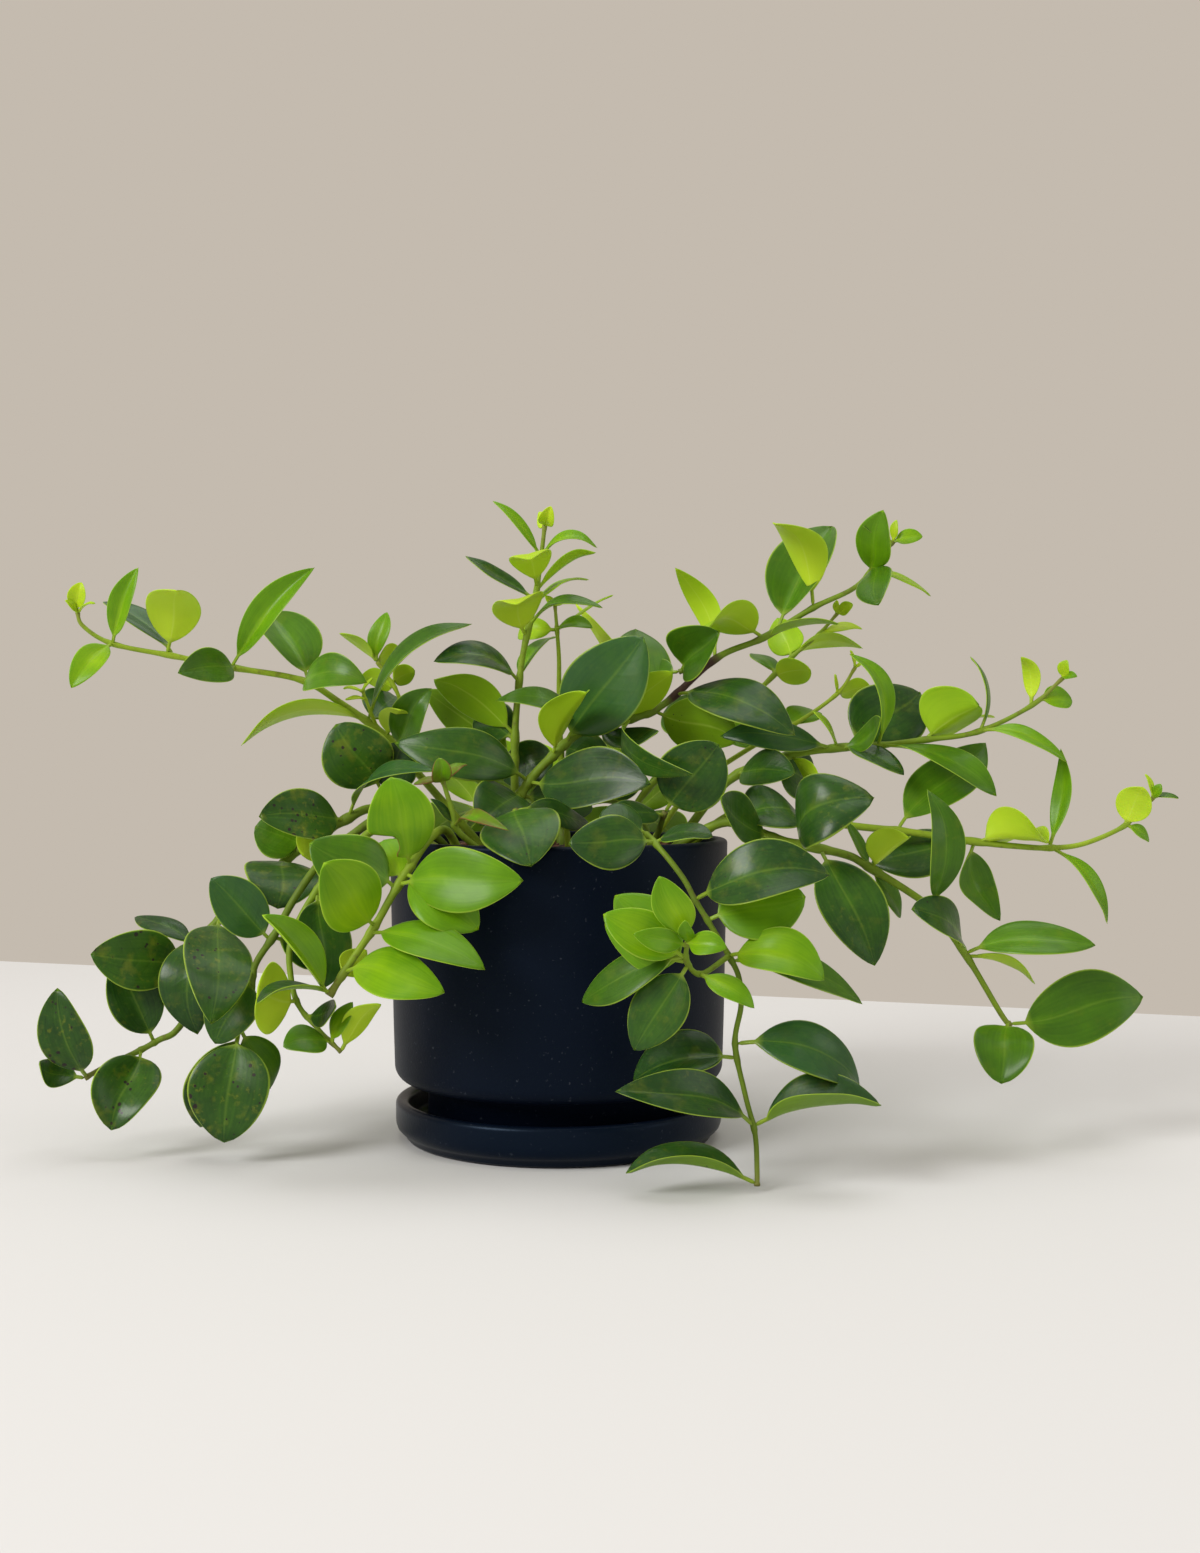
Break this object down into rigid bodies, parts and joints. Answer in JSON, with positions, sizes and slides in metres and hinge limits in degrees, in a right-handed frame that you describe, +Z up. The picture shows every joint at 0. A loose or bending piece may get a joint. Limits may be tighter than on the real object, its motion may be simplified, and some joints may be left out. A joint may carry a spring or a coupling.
{
  "type": "potted trailing plant",
  "caption": "Trailing vine plant with opposite pointed oval waxy leaves on arching and hanging stems, in a round dark straight-sided pot on a raised saucer.",
  "frame": {"origin": "centre of the saucer's flat underside, on the surface that the pot stands on and on the pot's axis", "axes": "+Z up the pot's axis, +X towards the stems that spread to the viewer's right, -Y towards the front"},
  "size_m": [0.5489, 0.299, 0.3184],
  "materials": {
    "saucer_glaze": "satin",
    "pot_glaze": "satin",
    "potting_mix": "matte",
    "foliage_bright": "satin",
    "foliage_lime": "satin",
    "foliage_green": "satin",
    "foliage_dark": "satin",
    "foliage_young": "satin"
  },
  "bodies": {
    "root": {"saucer": "saucer_glaze", "pot": "pot_glaze", "soil": "potting_mix", "vine_upper_left": "foliage_bright", "vine_centre": "foliage_lime", "shoot_centre": "foliage_lime", "vine_upper_right": "foliage_green", "vine_right_fork": "foliage_lime", "vine_right_twig": "foliage_lime", "vine_right_high": "foliage_bright", "vine_right_low": "foliage_green", "vine_right_drooping": "foliage_green", "vine_front_right": "foliage_bright", "vine_front_left": "foliage_bright", "vine_left_inner": "foliage_bright", "vine_left_middle": "foliage_dark", "vine_left_outer": "foliage_dark", "shoot_front_young": "foliage_young", "shoot_front_centre": "foliage_dark", "shoot_front_right": "foliage_dark", "shoot_left_crown": "foliage_dark", "vine_back": "foliage_dark"}
  },
  "joints": []
}
